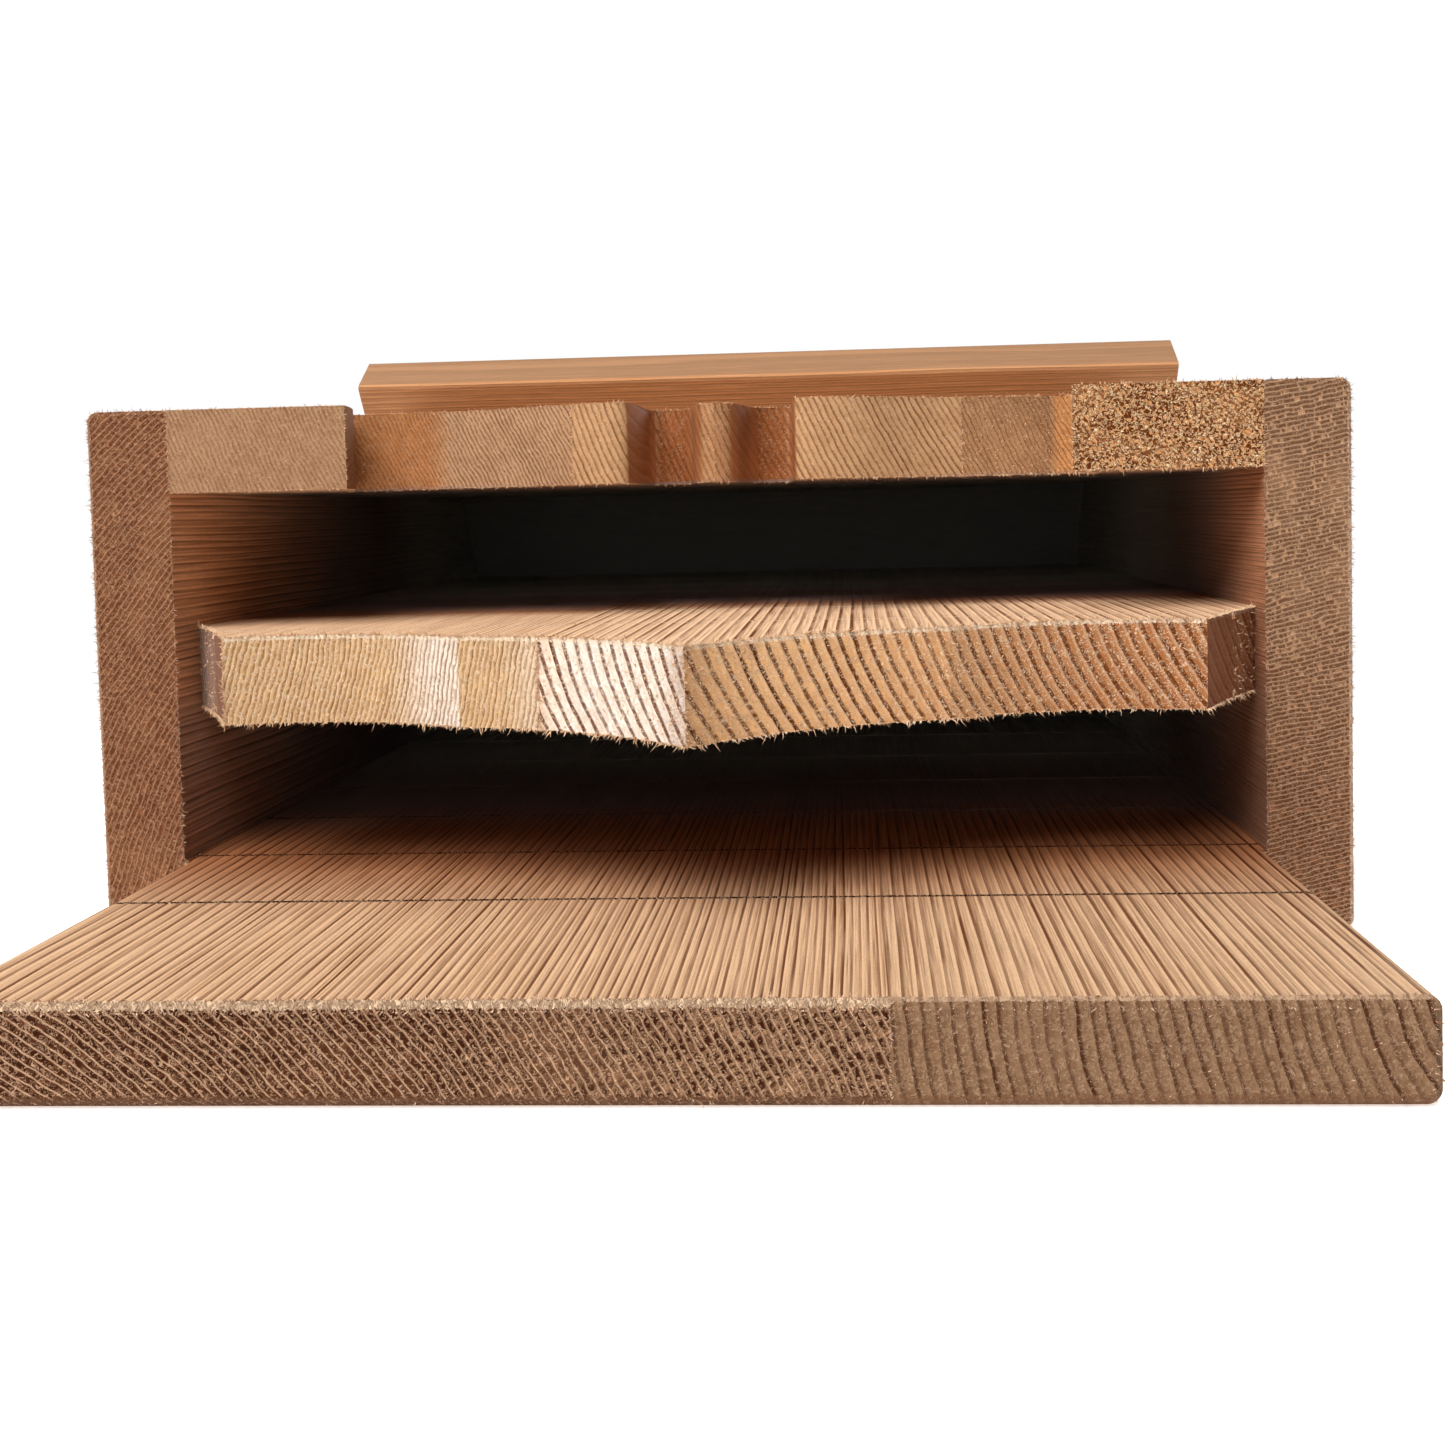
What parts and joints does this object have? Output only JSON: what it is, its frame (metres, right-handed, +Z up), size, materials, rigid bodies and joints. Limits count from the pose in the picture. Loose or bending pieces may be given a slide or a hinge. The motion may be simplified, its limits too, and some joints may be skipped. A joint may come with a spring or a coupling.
{
  "type": "bat house",
  "caption": "Wall-hung cedar bat house: two narrow roosting chambers open below, kerfed landing, sloping roof, and a bat outline cut into the front board and partition.",
  "frame": {"origin": "on the wall face, on the centre line, level with the lower ends of the side boards", "axes": "+Z up, +Y out of the back into the wall, so the front faces -Y; +X to the right seen from the front"},
  "size_m": [0.316, 0.16, 0.4607],
  "materials": {
    "cedar": "bare sawn and planed red cedar",
    "screw_steel": "zinc-plated steel",
    "hanger_steel": "zinc-plated pressed steel"
  },
  "bodies": {
    "root": {"back_stave_left": "cedar", "back_stave_right": "cedar", "front_stave_left": "cedar", "front_stave_middle": "cedar", "front_stave_right": "cedar", "partition_stave_left": "cedar", "partition_stave_right": "cedar", "roof_board": "cedar", "side_board_left": "cedar", "side_board_right": "cedar", "back_screws_left": "screw_steel", "back_screws_right": "screw_steel", "front_screws_left": "screw_steel", "front_screws_right": "screw_steel", "partition_screws_left": "screw_steel", "partition_screws_right": "screw_steel", "roof_screws_left": "screw_steel", "roof_screws_right": "screw_steel", "hanger_screws_left": "screw_steel", "hanger_screws_right": "screw_steel", "hanger_plate_left": "hanger_steel", "hanger_plate_right": "hanger_steel"}
  },
  "joints": []
}
